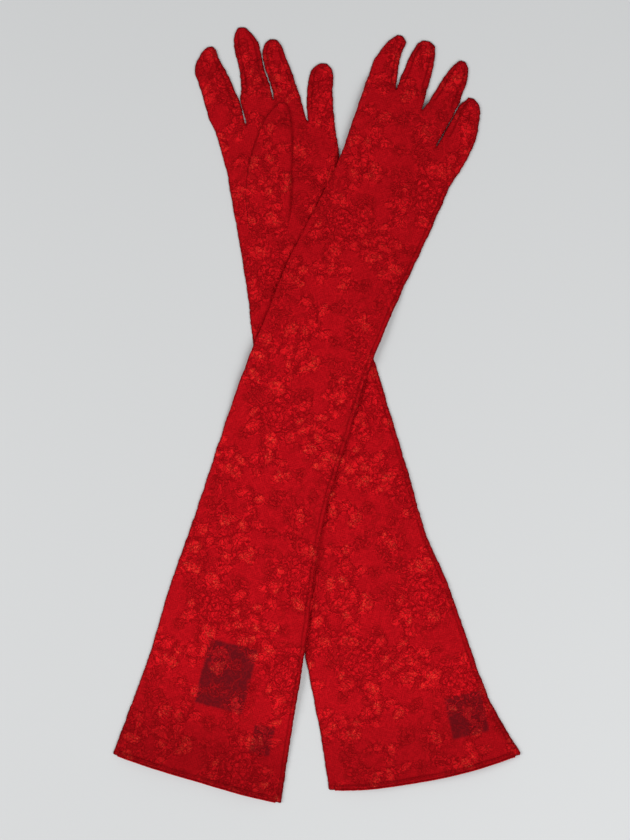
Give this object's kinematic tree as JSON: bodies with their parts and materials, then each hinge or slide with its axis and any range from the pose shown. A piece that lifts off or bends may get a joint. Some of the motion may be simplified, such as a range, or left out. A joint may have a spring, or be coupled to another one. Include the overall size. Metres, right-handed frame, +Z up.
{
  "type": "opera gloves",
  "caption": "Pair of long stretch-lace opera gloves laid flat and crossed, with set-in thumbs, forked fingers, side seams, cuff hems and blank inside labels.",
  "frame": {"origin": "centre of the pair's bounding box in X and Y, on the plane the gloves rest on", "axes": "+Z up, +Y from the cuffs towards the fingertips, +X to the right of someone looking down on the pair"},
  "size_m": [0.306, 0.582, 0.012],
  "materials": {
    "lace": "satin",
    "lace_fork": "satin",
    "seam_thread": "matte",
    "label_tape": "satin"
  },
  "bodies": {
    "left_glove": {"left_back_panel": "lace", "left_palm_panel": "lace", "left_side_seam": "seam_thread", "left_cuff_hem": "seam_thread", "left_care_label": "label_tape"},
    "left_index": {"left_index_finger": "lace", "left_index_fork": "lace_fork"},
    "left_middle": {"left_middle_finger": "lace", "left_middle_forks": "lace_fork"},
    "left_ring": {"left_ring_finger": "lace", "left_ring_forks": "lace_fork"},
    "left_little": {"left_little_finger": "lace", "left_little_fork": "lace_fork"},
    "left_thumb": {"left_thumb": "lace"},
    "right_glove": {"right_back_panel": "lace", "right_palm_panel": "lace", "right_side_seam": "seam_thread", "right_cuff_hem": "seam_thread", "right_care_label": "label_tape", "right_size_label": "label_tape"},
    "right_index": {"right_index_finger": "lace", "right_index_fork": "lace_fork"},
    "right_middle": {"right_middle_finger": "lace", "right_middle_forks": "lace_fork"},
    "right_ring": {"right_ring_finger": "lace", "right_ring_forks": "lace_fork"},
    "right_little": {"right_little_finger": "lace", "right_little_fork": "lace_fork"},
    "right_thumb": {"right_thumb": "lace"}
  },
  "joints": [
    {"name": "left_index_fold", "type": "hinge", "parent": "left_glove", "child": "left_index", "pos_m": [-0.06965, 0.22706, 0.0052], "axis": [0.9578, 0.2873, 0], "range_deg": [0, 90]},
    {"name": "left_middle_fold", "type": "hinge", "parent": "left_glove", "child": "left_middle", "pos_m": [-0.04578, 0.24317, 0.0052], "axis": [0.9811, 0.1936, 0], "range_deg": [0, 90]},
    {"name": "left_ring_fold", "type": "hinge", "parent": "left_glove", "child": "left_ring", "pos_m": [-0.0242, 0.24626, 0.0052], "axis": [0.9598, 0.2806, 0], "range_deg": [0, 90]},
    {"name": "left_little_fold", "type": "hinge", "parent": "left_glove", "child": "left_little", "pos_m": [0.0023, 0.22917, 0.0052], "axis": [1, 0, 0], "range_deg": [0, 90]},
    {"name": "left_thumb_lift", "type": "hinge", "parent": "left_glove", "child": "left_thumb", "pos_m": [-0.03675, 0.132, 0.0074], "axis": [1, 0, 0], "range_deg": [0, 90]},
    {"name": "right_glove_lift", "type": "slide", "parent": "left_glove", "child": "right_glove", "axis": [0, 0, 1], "range_m": [0, 0.25]},
    {"name": "right_index_fold", "type": "hinge", "parent": "right_glove", "child": "right_index", "pos_m": [0.04886, 0.25016, 0.0052], "axis": [0.9345, -0.356, 0], "range_deg": [0, 90]},
    {"name": "right_middle_fold", "type": "hinge", "parent": "right_glove", "child": "right_middle", "pos_m": [0.0718, 0.24611, 0.0052], "axis": [0.9531, -0.3026, 0], "range_deg": [0, 90]},
    {"name": "right_ring_fold", "type": "hinge", "parent": "right_glove", "child": "right_ring", "pos_m": [0.09417, 0.23306, 0.0052], "axis": [0.9117, -0.4108, 0], "range_deg": [0, 90]},
    {"name": "right_little_fold", "type": "hinge", "parent": "right_glove", "child": "right_little", "pos_m": [0.10641, 0.20531, 0.0052], "axis": [0.9351, -0.3544, 0], "range_deg": [0, 90]},
    {"name": "right_thumb_swing", "type": "hinge", "parent": "right_glove", "child": "right_thumb", "pos_m": [0.0345, 0.136, 0], "axis": [0, 0, 1], "range_deg": [0, 24]}
  ]
}
